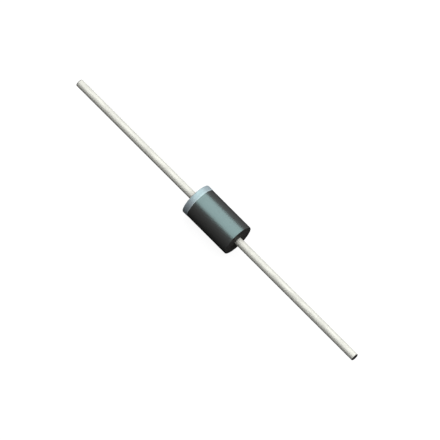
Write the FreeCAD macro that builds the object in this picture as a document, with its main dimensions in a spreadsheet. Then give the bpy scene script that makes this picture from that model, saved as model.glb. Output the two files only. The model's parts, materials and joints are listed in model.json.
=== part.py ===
import FreeCAD, Part
import math
import os
import Sketcher

# Axial rectifier diode, built in the order in which the real one is assembled:
#   1. two tinned copper leads, each with a nail head upset on its inner end
#   2. a silicon die soldered between the two nail heads
#   3. a bead of silicone rubber drawn round the die's bare edge
#   4. the epoxy case, moulded in one shot round all of that
#   5. the cathode band, printed on the case
# Frame, in millimetres: the origin is the middle of the case on the lead axis,
# +X runs from the banded cathode end to the anode end, +Z is up.

SIZES = [
    ("case_length", 9.2, "moulded case, end face to end face"),
    ("case_diameter", 5.4, "moulded case, outside"),
    ("case_rim_radius", 0.1, "rounding of the case's two rims"),
    ("wire_diameter", 1.25, "tinned copper wire"),
    ("wire_length", 25.4, "each lead, from the case's end face to its cut tip"),
    ("tip_bevel", 0.08, "edge that the cutter leaves round the tip"),
    ("head_margin", 0.13, "nail head beyond the die's corners"),
    ("head_thickness", 0.5, "nail head, front to back"),
    ("head_bevel", 0.12, "bevel of the nail head's back rim"),
    ("neck_rise", 0.2, "coned neck above the wire's surface, at the nail head"),
    ("neck_length", 0.35, "coned neck, along the wire"),
    ("barb_mouth", 0.42, "grip barb, across its mouth"),
    ("barb_pitch", 0.4, "from barb to barb, less than the mouth, so the crest is sharp"),
    ("barb_depth", 0.08, "grip barb below the wire's surface"),
    ("barb_setback", 0.1, "plain wire between the case's end face and the first barb"),
    ("die_width", 2.2, "hexagonal die, across flats on its cathode side"),
    ("die_thickness", 0.28, "die, face to face"),
    ("die_bevel", 20.0, "etched slope of the die's edge, in degrees"),
    ("solder_thickness", 0.06, "each solder layer"),
    ("solder_inset", 0.15, "solder's edge inside the die's flats"),
    ("solder_flare", 0.1, "growth of the solder's radius towards the nail head"),
    ("bead_cover", 0.12, "silicone bead beyond the nail heads' rims, at its middle"),
    ("bead_roundness", 0.6, "radius of the silicone bead's section"),
    ("band_width", 1.05, "cathode band, from the case's end face"),
    ("ink_thickness", 0.03, "ink film of the cathode band"),
    ("ink_wrap", 50.0, "how far the film goes round the case's rim, in degrees"),
]
BARBS = 2
FULL_TURN = 360
CORNER_OVER_FLAT = 2 / math.sqrt(3)
SAME_PLACE = 1e-4
END_FOR_END = FreeCAD.Placement(FreeCAD.Vector(), FreeCAD.Rotation(FreeCAD.Vector(0, 0, 1), 180))
ROUND_THE_LEADS = FreeCAD.Placement(FreeCAD.Vector(), FreeCAD.Rotation(FreeCAD.Vector(0, 1, 0), 90))


class Size:
    """A number with its present value and the expression that ties it to the sheet."""

    def __init__(self, value, text):
        self.value = value
        self.text = text

    def __add__(self, other):
        return Size(self.value + other.value, f"({self.text} + {other.text})")

    def __sub__(self, other):
        return Size(self.value - other.value, f"({self.text} - {other.text})")

    def __mul__(self, other):
        if isinstance(other, Size):
            return Size(self.value * other.value, f"({self.text} * {other.text})")
        return Size(self.value * other, f"({self.text} * {other})")

    def sine(self):
        return Size(math.sin(math.radians(self.value)), f"sin({self.text})")

    def cosine(self):
        return Size(math.cos(math.radians(self.value)), f"cos({self.text})")


def fill_sheet(sheet):
    """Writes every driving size into the sheet: its alias, its number and its meaning."""
    for row, (alias, number, meaning) in enumerate(SIZES, start=1):
        sheet.set(f"A{row}", alias)
        sheet.set(f"B{row}", str(number))
        sheet.set(f"C{row}", meaning)
        sheet.setAlias(f"B{row}", alias)


def size(alias):
    """The sheet's cell of that name."""
    return Size(float(sheet.get(alias)), f"sizes.{alias}")


def new_body(label):
    body = doc.addObject("PartDesign::Body", label)
    body.Label = label
    return body


def new_sketch(body, name, role):
    """A sketch on one of the body's own origin planes, such as XZ_Plane."""
    plane = next(f for f in body.Origin.OriginFeatures if f.Role == role)
    sketch = body.newObject("Sketcher::SketchObject", name)
    sketch.AttachmentSupport = [(plane, "")]
    sketch.MapMode = "FlatFace"
    return sketch


def dimension(sketch, kind, places, amount):
    """A dimension of the sketch, bound to the sheet."""
    index = sketch.addConstraint(Sketcher.Constraint(kind, *places, amount.value))
    sketch.setExpression(f"Constraints[{index}]", amount.text)


def hold_point(sketch, geometry, end, across, up):
    """Holds one end of an element at (across, up), where an up of None is on the lead axis."""
    dimension(sketch, "DistanceX", (-1, 1, geometry, end), across)
    if up is None:
        sketch.addConstraint(Sketcher.Constraint("PointOnObject", geometry, end, -1))
    else:
        dimension(sketch, "DistanceY", (-1, 1, geometry, end), up)


def draw_outline(sketch, corners):
    """A closed outline through (across, up, bend) corners, each of them held by the sheet.

    A bend of None runs straight to the next corner. A bend of (centre across, centre
    up, radius) runs there on that arc, the short way round.
    """
    points = [FreeCAD.Vector(across.value, up.value if up else 0, 0) for across, up, _ in corners]
    tails = []
    for index, (_, _, bend) in enumerate(corners):
        start = points[index]
        end = points[(index + 1) % len(points)]
        if bend is None:
            sketch.addGeometry(Part.LineSegment(start, end), False)
            tails.append(1)
            continue
        centre = FreeCAD.Vector(bend[0].value, bend[1].value, 0)
        turns_left = (start - centre).cross(end - centre).z > 0
        ends = (start, end) if turns_left else (end, start)
        angles = [math.atan2(p.y - centre.y, p.x - centre.x) for p in ends]
        circle = Part.Circle(centre, FreeCAD.Vector(0, 0, 1), bend[2].value)
        sketch.addGeometry(Part.ArcOfCircle(circle, *angles), False)
        tails.append(1 if turns_left else 2)
    for index, (across, up, bend) in enumerate(corners):
        following = (index + 1) % len(corners)
        head = 3 - tails[index]
        joint = Sketcher.Constraint("Coincident", index, head, following, tails[following])
        sketch.addConstraint(joint)
        hold_point(sketch, index, tails[index], across, up)
        if bend is not None:
            dimension(sketch, "Radius", (index,), bend[2])


def turn(body, kind, name, corners):
    """A full Revolution or Groove about the lead axis of an outline drawn above it."""
    sketch = new_sketch(body, f"{name}_section", "XZ_Plane")
    draw_outline(sketch, corners)
    feature = body.newObject(f"PartDesign::{kind}", name)
    feature.Profile = sketch
    feature.ReferenceAxis = (sketch, ["H_Axis"])
    feature.Angle = FULL_TURN
    sketch.Visibility = False
    doc.recompute()
    return feature


def cut(label, base, tool):
    """The base less the tool."""
    piece = doc.addObject("Part::Cut", label)
    piece.Label = label
    piece.Base = base
    piece.Tool = tool
    return piece


def fuse(label, pieces):
    """Several pieces as one solid, to cut with."""
    whole = doc.addObject("Part::MultiFuse", label)
    whole.Shapes = pieces
    return whole


doc = FreeCAD.newDocument("axial_rectifier_diode")
sheet = doc.addObject("Spreadsheet::Sheet", "sizes")
fill_sheet(sheet)
doc.recompute()

# Places that more than one piece shares, counted outwards from the middle of the die.
die_face = size("die_thickness") * 0.5
die_corner_radius = size("die_width") * (0.5 * CORNER_OVER_FLAT)
head_front = die_face + size("solder_thickness")
head_radius = die_corner_radius + size("head_margin")
wire_radius = size("wire_diameter") * 0.5
case_end = size("case_length") * 0.5
case_radius = size("case_diameter") * 0.5


def lead(label):
    """A headed lead on the +X side: nail head, coned neck, barbed and plain wire, cut tip."""
    bevel = size("head_bevel")
    head_back = head_front + size("head_thickness")
    tip = case_end + size("wire_length")
    body = new_body(label)
    turn(
        body,
        "Revolution",
        f"{label}_blank",
        [
            (head_front, None, None),
            (head_front, head_radius, None),
            (head_back - bevel, head_radius, None),
            (head_back, head_radius - bevel, None),
            (head_back, wire_radius + size("neck_rise"), None),
            (head_back + size("neck_length"), wire_radius, None),
            (tip - size("tip_bevel"), wire_radius, None),
            (tip, wire_radius - size("tip_bevel"), None),
            (tip, None, None),
        ],
    )
    roll_barbs(body, label)
    return body


def roll_barbs(body, label):
    """Barbs rolled into the wire just inside the case, so that it can't be drawn out.

    Each has a square shoulder that faces outwards and a slope that runs back out to the
    wire's surface. The roll's tooth is cut as high above that surface as it goes below.
    """
    depth = size("barb_depth")
    mouth = size("barb_mouth")
    shoulder = case_end - size("barb_setback") - mouth
    barb = turn(
        body,
        "Groove",
        f"{label}_barb",
        [
            (shoulder, wire_radius + depth, None),
            (shoulder, wire_radius - depth, None),
            (shoulder + mouth * 2, wire_radius + depth, None),
        ],
    )
    barbs = body.newObject("PartDesign::LinearPattern", f"{label}_barbs")
    barbs.Originals = [barb]
    barbs.Direction = (barb.Profile[0], ["H_Axis"])
    barbs.Reversed = True
    barbs.setExpression("Length", (size("barb_pitch") * (BARBS - 1)).text)
    barbs.Occurrences = BARBS
    body.Tip = barbs
    doc.recompute()


def hexagonal_die():
    """A hexagonal chip with an etched bevel all round, widest on its cathode side."""
    body = new_body("silicon_die")
    sketch = new_sketch(body, "die_outline", "YZ_Plane")
    sketch.setExpression("AttachmentOffset.Base.z", (die_face * -1).text)
    around = Part.Circle(FreeCAD.Vector(), FreeCAD.Vector(0, 0, 1), die_corner_radius.value)
    corners = [around.value(side * math.pi / 3) for side in range(6)]
    for side in range(6):
        sketch.addGeometry(Part.LineSegment(corners[side], corners[(side + 1) % 6]), False)
    circle = sketch.addGeometry(around, True)
    sketch.addConstraint(Sketcher.Constraint("Coincident", circle, 3, -1, 1))
    sketch.addConstraint(Sketcher.Constraint("PointOnObject", 0, 1, -1))
    dimension(sketch, "Radius", (circle,), die_corner_radius)
    for side in range(6):
        sketch.addConstraint(Sketcher.Constraint("Coincident", side, 2, (side + 1) % 6, 1))
        sketch.addConstraint(Sketcher.Constraint("PointOnObject", side, 1, circle))
        if side > 0:
            sketch.addConstraint(Sketcher.Constraint("Equal", 0, side))
    chip = body.newObject("PartDesign::Pad", "die_chip")
    chip.Profile = sketch
    chip.setExpression("Length", size("die_thickness").text)
    chip.setExpression("TaperAngle", (size("die_bevel") * -1).text)
    sketch.Visibility = False
    doc.recompute()
    return body


def solder(label):
    """A solder layer on the +X side of the die, flaring out to the nail head's face."""
    narrow = size("die_width") * 0.5 - size("solder_inset")
    body = new_body(label)
    turn(
        body,
        "Revolution",
        f"{label}_layer",
        [
            (die_face, None, None),
            (die_face, narrow, None),
            (head_front, narrow + size("solder_flare"), None),
            (head_front, None, None),
        ],
    )
    return body


def silicone_ring():
    """The silicone bead as a plain ring round the leads, before what it wraps is cut out."""
    ring = doc.addObject("Part::Torus", "silicone_ring")
    roundness = size("bead_roundness")
    ring.setExpression("Radius1", (head_radius + size("bead_cover") - roundness).text)
    ring.setExpression("Radius2", roundness.text)
    ring.Placement = ROUND_THE_LEADS
    return ring


def case_outside():
    """The case's outside: a plain cylinder with both rims rounded."""
    body = new_body("case_outside")
    blank = turn(
        body,
        "Revolution",
        "case_cylinder",
        [
            (case_end * -1, None, None),
            (case_end * -1, case_radius, None),
            (case_end, case_radius, None),
            (case_end, None, None),
        ],
    )
    rims = []
    for number, edge in enumerate(blank.Shape.Edges, start=1):
        if isinstance(edge.Curve, Part.Circle) and edge.Curve.Radius > case_radius.value - SAME_PLACE:
            rims.append(f"Edge{number}")
    rounding = body.newObject("PartDesign::Fillet", "case_rims")
    rounding.Base = (blank, rims)
    rounding.setExpression("Radius", size("case_rim_radius").text)
    doc.recompute()
    return body


def cathode_band():
    """The printed ring on the +X end: an even film on the case's wall and part of its rim."""
    rim = size("case_rim_radius")
    ink = size("ink_thickness")
    wrap = size("ink_wrap")
    edge = case_end - size("band_width")
    centre = (case_end - rim, case_radius - rim)
    outer = rim + ink
    body = new_body("cathode_band")
    turn(
        body,
        "Revolution",
        "band_film",
        [
            (edge, case_radius, None),
            (edge, case_radius + ink, None),
            (centre[0], case_radius + ink, (*centre, outer)),
            (centre[0] + outer * wrap.sine(), centre[1] + outer * wrap.cosine(), None),
            (centre[0] + rim * wrap.sine(), centre[1] + rim * wrap.cosine(), (*centre, rim)),
            (centre[0], case_radius, None),
        ],
    )
    return body


def check(pieces):
    """Stops if any object failed, or if any piece is not one valid solid."""
    for thing in doc.Objects:
        if "Invalid" in thing.State or "Error" in thing.State:
            raise RuntimeError(f"{thing.Name} failed: {thing.State}")
    for piece in pieces:
        shape = piece.Shape
        if shape.isNull() or not shape.isValid() or len(shape.Solids) != 1:
            raise RuntimeError(f"{piece.Label} is not one valid solid")


anode_lead = lead("anode_lead")
cathode_lead = lead("cathode_lead")
cathode_lead.Placement = END_FOR_END

die = hexagonal_die()
anode_solder = solder("anode_solder")
cathode_solder = solder("cathode_solder")
cathode_solder.Placement = END_FOR_END

stack = fuse("soldered_stack", [anode_lead, cathode_lead, anode_solder, cathode_solder, die])
ring = silicone_ring()
coating = cut("junction_coating", ring, stack)

insert = fuse("moulding_insert", [stack, ring])
case = cut("moulded_case", case_outside(), insert)

band = cathode_band()
band.Placement = END_FOR_END
doc.recompute()

pieces = [case, band, cathode_lead, anode_lead, die, cathode_solder, anode_solder, coating]
check(pieces)
os.makedirs("parts", exist_ok=True)
for piece in pieces:
    piece.Shape.exportStep(os.path.join("parts", f"{piece.Label}.step"))
    print(f"{piece.Label}: {piece.Shape.Volume:.4f} mm3")
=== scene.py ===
import json
import math

import bpy
import numpy as np
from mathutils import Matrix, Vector


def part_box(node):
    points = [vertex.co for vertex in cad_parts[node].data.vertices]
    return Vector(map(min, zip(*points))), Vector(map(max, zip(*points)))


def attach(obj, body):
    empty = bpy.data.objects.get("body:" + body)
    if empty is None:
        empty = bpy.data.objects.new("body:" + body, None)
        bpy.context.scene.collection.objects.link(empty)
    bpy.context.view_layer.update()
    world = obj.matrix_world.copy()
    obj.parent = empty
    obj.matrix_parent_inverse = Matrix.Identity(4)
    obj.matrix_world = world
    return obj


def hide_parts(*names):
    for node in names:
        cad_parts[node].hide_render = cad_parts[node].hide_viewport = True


# An axial rectifier diode, finished in the order in which the real one is put together: the chip
# and its solder, the two tinned leads, the silicone bead, the moulded case and the printed band.
# A piece's lengths are in millimetres until they go into its mesh. The origin is the middle of
# the case on the lead axis, +X runs from the banded cathode end to the anode end, and +Z is up.

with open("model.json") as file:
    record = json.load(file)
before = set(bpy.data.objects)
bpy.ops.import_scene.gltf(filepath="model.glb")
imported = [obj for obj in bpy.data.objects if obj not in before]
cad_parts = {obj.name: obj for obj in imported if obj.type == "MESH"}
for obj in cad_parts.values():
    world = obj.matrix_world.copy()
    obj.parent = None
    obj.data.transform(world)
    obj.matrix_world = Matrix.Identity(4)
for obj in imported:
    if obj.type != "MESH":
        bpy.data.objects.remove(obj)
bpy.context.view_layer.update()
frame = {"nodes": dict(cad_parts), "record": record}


# ---- Silicon chip -------------------------------------------------------------------------------
# The rectifier itself: a six-sided chip of silicon, cut from a diffused wafer with its edge
# sloped. Both faces are lapped and plated for soldering, and acid has etched the edge bare.

METRE = 1000.0
MOTTLE_BREAKUP = 0.55
SILICON_FACE = (0.115, 0.125, 0.150, 1)
SILICON_EDGE = (0.050, 0.055, 0.070, 1)
EDGE_STARTS, EDGE_FULL = 0.003, 0.009
LAPPED_ROUGHNESS, SCRATCH_ROUGHNESS, ETCH_POLISH = 0.42, 0.12, 0.18
SCRATCH_DEPTH = 0.002
SILICON_METALLIC = 0.35


class Shade:
    """A value, colour or vector spread over a piece: one output of a node in its material.

    Sums, differences and products of shades add Math nodes, and node() adds any other node.
    """

    def __init__(self, tree, socket=None):
        self.tree = tree
        self.socket = socket

    def node(self, kind, settings, inputs, output=0):
        """Adds a node, makes its settings, fills its inputs and gives back one of its outputs."""
        made = self.tree.nodes.new("ShaderNode" + kind)
        for setting, choice in settings.items():
            setattr(made, setting, choice)
        for name, value in inputs.items():
            if isinstance(value, Shade):
                self.tree.links.new(value.socket, made.inputs[name])
            else:
                made.inputs[name].default_value = value
        return Shade(self.tree, made.outputs[output] if made.outputs else None)

    def maths(self, operation, *values):
        """Adds a Math node that works on these numbers and shades, and gives back its result."""
        return self.node("Math", {"operation": operation}, dict(enumerate(values)))

    def __add__(self, other):
        return self.maths("ADD", self, other)

    def __sub__(self, other):
        return self.maths("SUBTRACT", self, other)

    def __mul__(self, other):
        return self.maths("MULTIPLY", self, other)

    def __rsub__(self, other):
        return self.maths("SUBTRACT", other, self)

    __radd__ = __add__
    __rmul__ = __mul__


def start_finish(name):
    """A bare material, and where each point of the piece is, in millimetres."""
    material = bpy.data.materials.new(name)
    material.use_nodes = True
    material.node_tree.nodes.clear()
    place = Shade(material.node_tree).node("TexCoord", {}, {}, "Object")
    return material, place.node("VectorMath", {"operation": "SCALE"}, {0: place, "Scale": METRE})


def complete_finish(sockets):
    """Joins a Principled shader with these values and shades to the material's output."""
    shade = next(value for value in sockets.values() if isinstance(value, Shade))
    surface = shade.node("BsdfPrincipled", {}, sockets)
    shade.node("OutputMaterial", {}, {"Surface": surface})


def mottle(place, stretch, detail=2.0):
    """Soft blotches from 0 to 1, with this many to a millimetre along x, y and z."""
    spread = place.node("VectorMath", {"operation": "MULTIPLY"}, {0: place, 1: stretch})
    wanted = {"Vector": spread, "Scale": 1.0, "Detail": detail, "Roughness": MOTTLE_BREAKUP}
    return place.node("TexNoise", {"noise_dimensions": "3D"}, wanted, "Fac")


def fade(value, low, high):
    """0 up to low, 1 from high on, and a smooth rise between them."""
    limits = {"Value": value, "From Min": low, "From Max": high}
    return value.node("MapRange", {"interpolation_type": "SMOOTHSTEP"}, limits)


def tint(share, first, second):
    """The first colour where share is 0, the second where it is 1, and a mix between."""
    return share.node("Mix", {"data_type": "RGBA"}, {0: share, 6: first, 7: second}, 2)


def relief(height, depth):
    """Normals of a skin whose height, 0 to 1, spans this many millimetres."""
    return height.node("Bump", {}, {"Height": height, "Distance": depth / METRE})


def along_leads(place):
    """How far out along the leads a point is, on either side, in millimetres."""
    parts = place.node("SeparateXYZ", {}, {0: place})
    return parts.maths("ABSOLUTE", parts)


chip_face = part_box("silicon_die")[1].x * METRE

silicon, place = start_finish("lapped_silicon")
scratches = mottle(place, (30, 9, 60), 4)
on_edge = fade(along_leads(place), chip_face - EDGE_STARTS, chip_face - EDGE_FULL)
complete_finish({
    "Base Color": tint(on_edge, SILICON_FACE, SILICON_EDGE),
    "Roughness": LAPPED_ROUGHNESS + scratches * SCRATCH_ROUGHNESS - on_edge * ETCH_POLISH,
    "Normal": relief(scratches, SCRATCH_DEPTH),
    "Metallic": SILICON_METALLIC,
})
chip = frame["nodes"]["silicon_die"]
chip.material_slots[0].material = silicon


# ---- Solder layers ------------------------------------------------------------------------------
# A thin disc of high-lead solder on each face of the chip, melted in a furnace, so its free edge
# has drawn out towards the nail head and its skin has frozen in coarse dull grains.

SOLDER_BRIGHT = (0.50, 0.51, 0.52, 1)
SOLDER_DULL = (0.30, 0.31, 0.33, 1)
SOLDER_ROUGHNESS, FROST_ROUGHNESS = 0.34, 0.25
FROST_RANGE = (0.15, 0.75)
GRAINS_PER_MM, GRAIN_RELIEF = 9.0, 0.004

solder, place = start_finish("reflowed_solder")
grains = place.node("TexVoronoi", {}, {"Vector": place, "Scale": GRAINS_PER_MM}, "Distance")
frosting = fade(grains, *FROST_RANGE)
complete_finish({
    "Base Color": tint(frosting, SOLDER_BRIGHT, SOLDER_DULL),
    "Roughness": SOLDER_ROUGHNESS + frosting * FROST_ROUGHNESS,
    "Normal": relief(grains, GRAIN_RELIEF),
    "Metallic": 1.0,
})
for end in ("anode", "cathode"):
    layer = frame["nodes"][end + "_solder"]
    layer.material_slots[0].material = solder


# ---- Leads --------------------------------------------------------------------------------------
# Two like pieces of drawn copper wire, each with a nail head upset on its inner end and two
# rolled barbs that the epoxy grips. They are plated with matt tin after moulding and sheared to
# length, so the cut face and its smeared edge are the one bare place, and have gone dark.

LEAD_COLUMNS, LEAD_STEP = 128, 0.35
HEAD_THICKNESS, HEAD_BEVEL = 0.5, 0.12
NECK_RISE, NECK_LENGTH = 0.2, 0.35
BARB_MOUTH, BARB_PITCH, BARB_DEPTH, BARB_SETBACK = 0.42, 0.4, 0.08, 0.1
TIP_BEVEL = 0.08
CORNER_STEPS, LEAST_TURN = 6, 0.01
WAVE_HEIGHT, WAVE_FADE, WAVE_MARGIN = 0.0016, 0.8, 0.3
TIN_BRIGHT = (0.711, 0.714, 0.653, 1)
TIN_DULL = (0.603, 0.605, 0.554, 1)
CUT_COPPER = (0.015, 0.010, 0.008, 1)
TIN_METALLIC, TIN_IOR = 0.3, 1.88
TIN_ROUGHNESS, DULL_ROUGHNESS, CRYSTAL_ROUGHNESS = 0.60, 0.10, 0.06
CUT_ROUGHNESS = 0.15
DULL_RANGE = (0.35, 0.68)
PLATING_RELIEF = 0.003
SMEAR_STARTS, SMEAR_FULL = 0.11, 0.09

wire_radius = frame["record"]["mounts"][0]["dims"]["r_mm"]
case_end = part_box("moulded_case")[1].x * METRE
head_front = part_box("anode_lead")[0].x * METRE
head_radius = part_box("anode_lead")[1].y * METRE
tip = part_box("anode_lead")[1].x * METRE
head_back = head_front + HEAD_THICKNESS
last_barb = case_end - BARB_SETBACK - BARB_MOUTH
first_barb = last_barb - BARB_PITCH
barb_root = wire_radius - BARB_DEPTH
barb_crest = barb_root + BARB_DEPTH * BARB_PITCH / BARB_MOUTH

# Corners of the lead's outline, inner end first: along the axis, out from it, easing radius.
LEAD_OUTLINE = [
    (head_front, 0, 0),
    (head_front, head_radius, 0.03),
    (head_back - HEAD_BEVEL, head_radius, 0.05),
    (head_back, head_radius - HEAD_BEVEL, 0.05),
    (head_back, wire_radius + NECK_RISE, 0.03),
    (head_back + NECK_LENGTH, wire_radius, 0.06),
    (first_barb, wire_radius, 0.01),
    (first_barb, barb_root, 0.01),
    (last_barb, barb_crest, 0.01),
    (last_barb, barb_root, 0.01),
    (last_barb + BARB_MOUTH, wire_radius, 0.05),
    (tip - TIP_BEVEL, wire_radius, 0.04),
    (tip, wire_radius - TIP_BEVEL, 0.02),
    (tip, 0, 0),
]


def eased(outline, steps=CORNER_STEPS):
    """An outline's points, with every inner corner rounded by an arc.

    The arc of radius e leaves one side e tan(turn / 2) before the corner and joins the other
    side as far after it, and its centre lies e / cos(turn / 2) from the corner, between them.
    A corner with no radius, or one that hardly turns, stays as it is.
    """
    points = [np.array(outline[0][:2])]
    for before, corner, after in zip(outline, outline[1:], outline[2:]):
        here = np.array(corner[:2])
        back, ahead = np.array(before[:2]) - here, np.array(after[:2]) - here
        back, ahead = back / np.hypot(*back), ahead / np.hypot(*ahead)
        half_turn = (math.pi - math.acos(np.clip(back @ ahead, -1, 1))) / 2
        if corner[2] == 0 or half_turn < LEAST_TURN:
            points.append(here)
            continue
        middle = (back + ahead) / np.hypot(*(back + ahead))
        centre = here + middle * corner[2] / math.cos(half_turn)
        swing = np.linspace(-half_turn, half_turn, steps)[:, None]
        across = (ahead - back) / np.hypot(*(ahead - back))
        points.extend(centre + corner[2] * (across * np.sin(swing) - middle * np.cos(swing)))
    points.append(np.array(outline[-1][:2]))
    return np.array(points)


def filled_in(profile, step):
    """The same profile with points added, so that none is further than step from the next.

    Of two points closer than a hundredth of a step, the second is left out.
    """
    run = np.concatenate([[0], np.cumsum(np.hypot(*np.diff(profile, axis=0).T))])
    wanted = np.union1d(run, np.arange(step, run[-1], step))
    wanted = wanted[np.concatenate([[True], np.diff(wanted) > step / 100])]
    return np.stack([np.interp(wanted, run, side) for side in profile.T], axis=-1)


def turned(profile, around):
    """The surface of a profile turned about the lead axis: (x, r cos a, r sin a)."""
    x, r = profile[:, 0, None], profile[:, 1, None]
    return np.stack(np.broadcast_arrays(x, r * np.cos(around), r * np.sin(around)), axis=-1)


def skin(name, grid):
    """A closed piece from a grid of points, rows along its profile and columns round the axis.

    Four neighbours in the grid make one face, and the last column joins the first. A profile
    that starts and ends on the axis is closed by a fan of triangles to a single point at each
    end, and any other profile is a ring, so its last row joins its first.
    """
    columns = grid.shape[1]
    capped = np.ptp(grid[0], axis=0).max() == 0
    body = grid[1:-1] if capped else grid
    number = np.arange(body.shape[0] * columns).reshape(-1, columns)
    rows = number if capped else np.concatenate([number, number[:1]])
    beside = np.roll(rows, -1, axis=1)
    faces = np.stack([rows[:-1], beside[:-1], beside[1:], rows[1:]], axis=-1)
    faces = faces.reshape(-1, 4).tolist()
    points = body.reshape(-1, 3)
    if capped:
        inner, outer = len(points), len(points) + 1
        points = np.concatenate([points, grid[:1, 0], grid[-1:, 0]])
        fan = np.full(columns, inner)
        faces += np.stack([fan, beside[0], rows[0]], axis=-1).tolist()
        faces += np.stack([fan - inner + outer, rows[-1], beside[-1]], axis=-1).tolist()
    mesh = bpy.data.meshes.new(name)
    mesh.from_pydata((points / METRE).tolist(), [], faces)
    mesh.polygons.foreach_set("use_smooth", np.ones(len(mesh.polygons), bool))
    piece = bpy.data.objects.new(name, mesh)
    bpy.context.scene.collection.objects.link(piece)
    return piece


def lead_surface():
    """The +X lead: its eased outline, turned, with the plating a few microns uneven.

    Outside the case the radius r of the outline becomes r (1 + h f w). The waves w are
    sin(1.9 x + cos a) + sin(0.73 x - 2 a) at the angle a, h is their height, and f fades
    them out towards the cut tip and the case, where the plating ends. The -X lead is the same
    one, given half a turn about the Z axis.
    """
    around = np.arange(LEAD_COLUMNS) * math.tau / LEAD_COLUMNS
    profile = filled_in(eased(LEAD_OUTLINE), LEAD_STEP)
    x = profile[:, 0, None]
    from_case = np.clip((x - case_end) / WAVE_FADE, 0, 1)
    from_tip = np.clip((tip - WAVE_MARGIN - x) / WAVE_FADE, 0, 1)
    waves = np.sin(1.9 * x + np.cos(around)) + np.sin(0.73 * x - 2 * around)
    grid = turned(profile, around)
    grid[..., 1:] *= (1 + WAVE_HEIGHT * from_case * from_tip * waves)[..., None]
    return grid


tin, place = start_finish("matt_tin")
out = along_leads(place)
draw_lines = mottle(place, (0.25, 9, 9), 3)
clouds = mottle(place, (0.5, 1.6, 1.6), 3)
crystals = mottle(place, (26, 26, 26), 2)
on_cut = fade(out, tip - SMEAR_STARTS, tip - SMEAR_FULL)
dullness = fade(clouds * 0.6 + draw_lines * 0.4, *DULL_RANGE)
roughening = dullness * DULL_ROUGHNESS + crystals * CRYSTAL_ROUGHNESS + on_cut * CUT_ROUGHNESS
complete_finish({
    "Base Color": tint(on_cut, tint(dullness, TIN_BRIGHT, TIN_DULL), CUT_COPPER),
    "Roughness": TIN_ROUGHNESS + roughening,
    "Metallic": TIN_METALLIC - on_cut * TIN_METALLIC,
    "IOR": TIN_IOR,
    "Normal": relief(draw_lines * 0.6 + crystals * 0.4, PLATING_RELIEF),
})
for end, turn in (("anode", (1, 1, 1)), ("cathode", (-1, -1, 1))):
    wire = skin(end + "_wire", lead_surface() * turn)
    wire.data.materials.append(tin)
    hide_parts(end + "_lead")
    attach(wire, "root")


# ---- Silicone bead ------------------------------------------------------------------------------
# A bead of silicone rubber round the chip's bare edge, drawn between the two nail heads while it
# was runny and then cured. It is milky, with a few small bubbles under a smooth skin.

SILICONE_CLEAR = (0.74, 0.72, 0.66, 1)
SILICONE_MILKY = (0.60, 0.585, 0.54, 1)
SILICONE_ROUGHNESS, MILK_ROUGHNESS, BUBBLE_ROUGHNESS = 0.30, 0.10, 0.15
BUBBLE_RANGE = (0.16, 0.08)
BUBBLES_PER_MM, BUBBLE_RELIEF = 5.0, 0.006
SCATTER_SHARE, SCATTER_REACH = 0.2, 0.3

silicone, place = start_finish("cured_silicone")
milk = mottle(place, (2.2, 2.2, 2.2), 2)
cells = place.node("TexVoronoi", {}, {"Vector": place, "Scale": BUBBLES_PER_MM}, "Distance")
bubble = fade(cells, *BUBBLE_RANGE)
complete_finish({
    "Base Color": tint(milk, SILICONE_CLEAR, SILICONE_MILKY),
    "Roughness": SILICONE_ROUGHNESS + milk * MILK_ROUGHNESS + bubble * BUBBLE_ROUGHNESS,
    "Normal": relief(bubble, BUBBLE_RELIEF),
    "Subsurface Weight": SCATTER_SHARE,
    "Subsurface Scale": SCATTER_REACH / METRE,
})
bead = frame["nodes"]["junction_coating"]
bead.material_slots[0].material = silicone


# ---- Moulded case -------------------------------------------------------------------------------
# Black epoxy filled with ground quartz, shot round the soldered stack in a two-part mould. The
# cavity leaves a satin wall and duller ends, the halves a parting line along both sides, the gate
# a low pad on one of them, and the ejector pins two shallow dimples below.

WALL_STEP = 0.1
COLUMNS_PER_TURN = 240
LINE_REACH, LINE_COLUMNS, ANGLE_DIGITS = 5, 49, 5
CASE_RIM, RIM_STEPS = 0.1, 12
BEAD_ROUNDNESS, BEAD_COVER, BEAD_STEPS = 0.6, 0.12, 13
MENISCUS = 0.03
PARTING_HEIGHT, PARTING_WIDTH = 0.010, 0.022
GATE_LENGTH, GATE_HEIGHT, GATE_STAND = 1.1, 0.3, 0.012
GATE_END_SLOPE, GATE_SIDE_SLOPE = 0.12, 0.06
EJECTOR_PLACES, EJECTOR_RADIUS, EJECTOR_DEPTH = (-2.2, 2.2), 0.5, 0.015
EJECTOR_SLOPE = 0.1
CALM_BY_WIRE = 0.2
EPOXY_BLACK = (0.0546, 0.0533, 0.052, 1)
EPOXY_QUARTZ = (0.073, 0.071, 0.069, 1)
EPOXY_IOR, EPOXY_GLEAM = 1.9, (0.65, 1.0, 1.0, 1)
WALL_ROUGHNESS, WALL_SHINE = 0.253, 0.693
END_ROUGHNESS, END_GRAIN, END_SHINE = 0.6, 0.1, 0.1
END_STARTS, END_FULL = 0.06, 0.01
QUARTZ_RANGE = (0.60, 0.74)
FLOW_ROUGHNESS, GRAIN_ROUGHNESS, GRAIN_DEPTH = 0.07, 0.05, 0.0022

case_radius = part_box("moulded_case")[1].y * METRE


def smooth_step(value, low, high):
    """0 up to low, 1 from high on, and t t (3 - 2 t) between them."""
    t = np.clip((value - low) / (high - low), 0, 1)
    return t * t * (3 - 2 * t)


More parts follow.
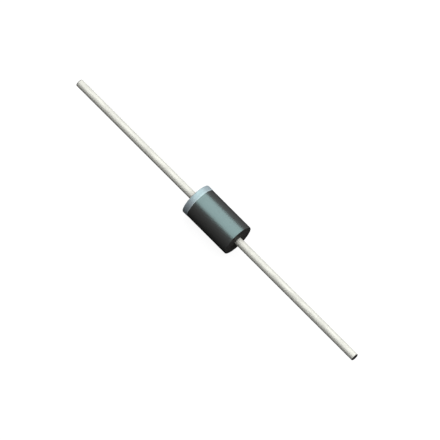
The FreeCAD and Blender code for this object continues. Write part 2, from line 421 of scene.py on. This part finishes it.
def cavity_outline():
    """The case's inside from the anode end to the cathode end, as the leads and the bead left it.

    Each side follows the lead's own outline back to the nail head's rim, and the two sides are
    joined by the bead's arc, x = b sin a and r = c + b cos a round the bead's centre line c.
    """
    side = [(x, r) for x, r, ease in LEAD_OUTLINE if head_front < x < case_end]
    centre_line = head_radius + BEAD_COVER - BEAD_ROUNDNESS
    reach = math.acos((head_radius - centre_line) / BEAD_ROUNDNESS)
    angle = np.linspace(reach, -reach, BEAD_STEPS)
    arc = np.stack([np.sin(angle), np.cos(angle)], axis=-1) * BEAD_ROUNDNESS + (0, centre_line)
    anode_side = np.array(side[::-1])
    return np.concatenate([anode_side, arc, anode_side[::-1] * (-1, 1)])


def case_surface():
    """The case as a closed ring: its eased outside turned, and its cavity turned inside it.

    Columns stand closer within a few degrees of the two parting lines, and those that coincide
    are merged. The outside is pushed along its own normal by the traces of the mould, less and
    less towards the wire. The parting line is a low ridge, exp(-(z / w)^2), where the surface
    crosses z = 0. The gate is a soft-edged pad on the +Y side of that line, and an ejector
    pin's mark is a soft-edged round dimple below.
    """
    half = [
        (0, case_radius, 0),
        (case_end, case_radius, CASE_RIM),
        (case_end, wire_radius, MENISCUS),
        (case_end + 2 * MENISCUS, wire_radius, 0),
    ]
    right = eased(half, RIM_STEPS)[:-1]
    outside = filled_in(np.concatenate([right[:0:-1] * (-1, 1), right]), WALL_STEP)
    near_line = np.radians(np.linspace(-LINE_REACH, LINE_REACH, LINE_COLUMNS))
    everywhere = np.arange(COLUMNS_PER_TURN) * math.tau / COLUMNS_PER_TURN
    around = np.concatenate([everywhere, near_line, near_line + math.pi]) % math.tau
    around = np.unique(np.round(around, ANGLE_DIGITS))
    grid = turned(outside, around)
    x, y, z = np.moveaxis(grid, -1, 0)
    on_wall = np.abs(x) < case_end - CASE_RIM
    push = PARTING_HEIGHT * np.exp(-((z / PARTING_WIDTH) ** 2))
    pad = smooth_step(GATE_LENGTH / 2 - np.abs(x), 0, GATE_END_SLOPE) * (y > 0) * on_wall
    push += GATE_STAND * pad * smooth_step(GATE_HEIGHT / 2 - np.abs(z), 0, GATE_SIDE_SLOPE)
    for middle in EJECTOR_PLACES:
        inside = EJECTOR_RADIUS - np.hypot(x - middle, y)
        dimple = smooth_step(inside, -EJECTOR_SLOPE, EJECTOR_SLOPE)
        push -= EJECTOR_DEPTH * (z < 0) * on_wall * dimple
    slope = np.gradient(outside, axis=0)
    normal = np.stack([-slope[:, 1], slope[:, 0]], axis=-1)
    normal /= np.hypot(*normal.T)[:, None]
    reach = np.clip((outside[:, 1] - wire_radius) / CALM_BY_WIRE, 0, 1)[:, None] * push
    grid[..., 0] += normal[:, 0, None] * reach
    grid[..., 1] += normal[:, 1, None] * reach * np.cos(around)
    grid[..., 2] += normal[:, 1, None] * reach * np.sin(around)
    return np.concatenate([grid, turned(cavity_outline(), around)])


epoxy, place = start_finish("black_epoxy")
grain = mottle(place, (15, 15, 15), 3)
flow = mottle(place, (0.5, 1.4, 1.4), 3)
quartz = fade(mottle(place, (24, 24, 24), 1), *QUARTZ_RANGE)
skin_colour = tint(quartz, EPOXY_BLACK, EPOXY_QUARTZ)
fine_relief = relief(grain, GRAIN_DEPTH)
wall_skin = place.node("BsdfPrincipled", {}, {
    "Base Color": skin_colour,
    "Roughness": WALL_ROUGHNESS + flow * FLOW_ROUGHNESS + grain * GRAIN_ROUGHNESS,
    "Normal": fine_relief,
    "IOR": EPOXY_IOR,
    "Specular IOR Level": WALL_SHINE,
    "Specular Tint": EPOXY_GLEAM,
})
end_skin = place.node("BsdfPrincipled", {}, {
    "Base Color": skin_colour,
    "Roughness": END_ROUGHNESS + grain * END_GRAIN,
    "Normal": fine_relief,
    "Specular IOR Level": END_SHINE,
})
on_end = fade(along_leads(place), case_end - END_STARTS, case_end - END_FULL)
both_skins = place.node("MixShader", {}, {0: on_end, 1: wall_skin, 2: end_skin})
both_skins.node("OutputMaterial", {}, {"Surface": both_skins})
case = skin("case", case_surface())
case.data.materials.append(epoxy)
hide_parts("moulded_case")
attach(case, "root")


# ---- Cathode band -------------------------------------------------------------------------------
# The ring that marks the cathode: pale blue-grey ink, rolled on by a rubber wheel and cured. The
# film follows the case over the start of its rim. The wheel has squeezed it heavier along the
# front edge, where its colour is also painted lighter as a painted highlight line, left both edges
# a little wavy, and laid it on twice where it came round again.

INK_WRAP = math.radians(50)
INK_SINK = 0.003
FILM_STEPS, FILM_POWER = 49, 16
LAP_PLACE, LAP_WIDTH, LAP_SHARE = math.radians(260), 0.08, 0.2
FRONT_WANDER, BACK_WANDER = 0.006, 0.005
THIN_RANGE, PIT_RANGE, PIT_THINNING = (0.36, 0.72), (0.66, 0.74), 0.6
INK_FULL = (0.318, 0.365, 0.402, 1)
INK_THIN = (0.248, 0.285, 0.317, 1)
INK_HEAVY_HIGHLIT = (0.400, 0.457, 0.485, 1)
INK_ROUGHNESS, THIN_ROUGHNESS, INK_RELIEF = 0.47, 0.10, 0.002
INK_IOR, INK_SHINE, INK_GLEAM = 1.9, 1.0, (0.65, 1.0, 1.0, 1)
HIGHLIT_HEAP_ENDS, HIGHLIT_HEAP_FULL = 0.20, 0.08

band_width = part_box("cathode_band")[1].x * METRE + case_end
ink_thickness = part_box("cathode_band")[1].y * METRE - case_radius


def band_surface():
    """The ink film as a closed ring that follows the case's wall and rim at a small height.

    Its two parameters are the share u of the way from the front edge to the rim edge, and the
    angle. The way runs straight along the wall and then on the rim's arc, and both edges wander
    by some ten microns with the angle. The film is full between them, 1 - (2 u - 1)^p with a
    high even p, varies by a few hundredths round the case, and rises at the lap by a share of
    exp(-(angle / width)^2).
    """
    around = np.arange(COLUMNS_PER_TURN) * math.tau / COLUMNS_PER_TURN
    shares = (1 - np.cos(np.linspace(0, math.pi, FILM_STEPS))) / 2
    straight = band_width - CASE_RIM
    front_wave = np.sin(3 * around) + np.sin(7 * around + 1) + np.sin(17 * around) / 2
    back_wave = np.sin(5 * around) + np.sin(11 * around)
    front = FRONT_WANDER * front_wave
    back = straight + CASE_RIM * INK_WRAP + BACK_WANDER * back_wave
    lap = np.exp(-(((around - LAP_PLACE) / LAP_WIDTH) ** 2))
    evenness = 0.93 + 0.02 * np.sin(2 * around) + 0.01 * np.sin(13 * around)
    thickness = ink_thickness * (evenness + LAP_SHARE * lap)

    def film(share, height):
        way = front + share[:, None] * (back - front)
        bend = np.clip((way - straight) / CASE_RIM, 0, None)
        x = -case_end + band_width - np.minimum(way, straight) - (CASE_RIM + height) * np.sin(bend)
        r = case_radius - CASE_RIM + (CASE_RIM + height) * np.cos(bend)
        return np.stack([x, r * np.cos(around), r * np.sin(around)], axis=-1)

    fullness = 1 - (2 * shares[:, None] - 1) ** FILM_POWER
    outer = film(shares, thickness * fullness - INK_SINK * (1 - fullness))
    inner = film(shares[1:-1], np.full((len(shares) - 2, 1), -INK_SINK))
    return np.concatenate([outer[::-1], inner])


ink, place = start_finish("marking_ink")
wheel_streaks = mottle(place, (14, 0.6, 0.6), 3)
patches = mottle(place, (1.8, 1.8, 1.8), 3)
pits = fade(mottle(place, (11, 11, 11), 2), *PIT_RANGE)
thinness = fade(patches * 0.5 + wheel_streaks * 0.5, *THIN_RANGE) + pits * PIT_THINNING
front_edge = case_end - band_width
# Heavier ink along the front edge, whose lighter colour there is a painted highlight line.
heaped_and_highlit = fade(along_leads(place), front_edge + HIGHLIT_HEAP_ENDS, front_edge + HIGHLIT_HEAP_FULL)
ink_skin = wheel_streaks * 0.5 + mottle(place, (15, 15, 15), 2) * 0.5
complete_finish({
    "Base Color": tint(heaped_and_highlit, tint(thinness, INK_FULL, INK_THIN), INK_HEAVY_HIGHLIT),
    "Roughness": INK_ROUGHNESS + thinness * THIN_ROUGHNESS,
    "Normal": relief(ink_skin, INK_RELIEF),
    "IOR": INK_IOR,
    "Specular IOR Level": INK_SHINE,
    "Specular Tint": INK_GLEAM,
})
band = skin("band", band_surface())
band.data.materials.append(ink)
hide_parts("cathode_band")
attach(band, "root")


# ---- Floor, light and camera --------------------------------------------------------------------
# The diode lies on a pale sheet, touching it with its band, under one broad soft light tipped a
# little towards the back. The room is dark where the diode mirrors it, which keeps its edges
# dark, and fills the shadows softly, mostly from behind. Lengths are in metres from here on.

FLOOR_SIDE = 4.0
FLOOR_PALE = (0.12, 0.12, 0.12, 1)
FLOOR_GLOW = 0.92
FLOOR_ROUGHNESS, PAPER_ROUGHNESS = 0.85, 0.1
LIGHT_TIP = math.radians(18.5)
LIGHT_AWAY = 1.0
LIGHT_LONG, LIGHT_WIDE = 1.2, 1.97
LIGHT_RADIANCE = 2.63
ROOM_TIP = math.radians(67)
ROOM_MIRRORED, ROOM_SEEN = 0.005, 1.0
ROOM_SOFT, ROOM_FILL = 0.68, 0.05
VIEW_TURN, VIEW_RISE = math.radians(46.6), math.radians(70.6)
VIEW_LENS, VIEW_SENSOR = 1500.0, 36.0
VIEW_WIDTH = 0.06574
VIEW_ASIDE, VIEW_ABOVE = 0.00050, -0.00006
VIEW_NEAR, VIEW_FAR = 0.1, 10

floor_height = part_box("cathode_band")[0].z
corner = FLOOR_SIDE / 2
sheet = bpy.data.meshes.new("floor")
sheet.from_pydata(
    [
        (-corner, -corner, floor_height),
        (corner, -corner, floor_height),
        (corner, corner, floor_height),
        (-corner, corner, floor_height),
    ],
    [],
    [(0, 1, 2, 3)],
)
floor = bpy.data.objects.new("floor", sheet)
bpy.context.scene.collection.objects.link(floor)
paper, place = start_finish("pale_paper")
complete_finish({
    "Base Color": FLOOR_PALE,
    "Roughness": FLOOR_ROUGHNESS + mottle(place, (0.2, 0.2, 0.2), 1) * PAPER_ROUGHNESS,
    "Specular IOR Level": 0.0,
    "Emission Color": (1, 1, 1, 1),
    "Emission Strength": FLOOR_GLOW,
})
floor.data.materials.append(paper)
floor.visible_glossy = False
floor.visible_diffuse = False

softbox = bpy.data.lights.new("softbox", "AREA")
softbox.shape = "RECTANGLE"
softbox.size, softbox.size_y = LIGHT_LONG, LIGHT_WIDE
softbox.energy = LIGHT_RADIANCE * math.pi * LIGHT_LONG * LIGHT_WIDE
lamp = bpy.data.objects.new("softbox", softbox)
lamp.location = (0, LIGHT_AWAY * math.sin(LIGHT_TIP), LIGHT_AWAY * math.cos(LIGHT_TIP))
lamp.rotation_euler = (-LIGHT_TIP, 0, 0)
lamp.visible_camera = False
bpy.context.scene.collection.objects.link(lamp)

room = bpy.data.worlds.new("room")
room.use_nodes = True
room.node_tree.nodes.clear()
room_shade = Shade(room.node_tree)
seen = room_shade.node("LightPath", {}, {}, "Is Camera Ray")
soft = room_shade.node("LightPath", {}, {}, "Is Diffuse Ray")
heading = room_shade.node("TexCoord", {}, {}, "Generated")
backwards = {0: heading, 1: (0, math.sin(ROOM_TIP), math.cos(ROOM_TIP))}
facing = heading.node("VectorMath", {"operation": "DOT_PRODUCT"}, backwards, "Value")
from_behind = facing.maths("MAXIMUM", facing, 0.0)
fill = soft * (from_behind * ROOM_SOFT + ROOM_FILL)
strength = ROOM_MIRRORED + seen * (ROOM_SEEN - ROOM_MIRRORED) + fill
glow = room_shade.node("Background", {}, {"Color": (1, 1, 1, 1), "Strength": strength})
room_shade.node("OutputWorld", {}, {"Surface": glow})
bpy.context.scene.world = room

lens = bpy.data.cameras.new("camera")
lens.lens, lens.sensor_width = VIEW_LENS, VIEW_SENSOR
away = VIEW_WIDTH * VIEW_LENS / VIEW_SENSOR
towards_camera = Vector((
    math.sin(VIEW_TURN) * math.cos(VIEW_RISE),
    -math.cos(VIEW_TURN) * math.cos(VIEW_RISE),
    math.sin(VIEW_RISE),
))
camera = bpy.data.objects.new("camera", lens)
camera.rotation_mode = "QUATERNION"
camera.rotation_quaternion = (-towards_camera).to_track_quat("-Z", "Y")
right = Vector((math.cos(VIEW_TURN), math.sin(VIEW_TURN), 0))
above = towards_camera.cross(right)
camera.location = towards_camera * away + right * VIEW_ASIDE + above * VIEW_ABOVE
lens.clip_start, lens.clip_end = VIEW_NEAR, VIEW_FAR
bpy.context.scene.collection.objects.link(camera)
bpy.context.scene.camera = camera
bpy.context.scene.view_settings.view_transform = "Standard"
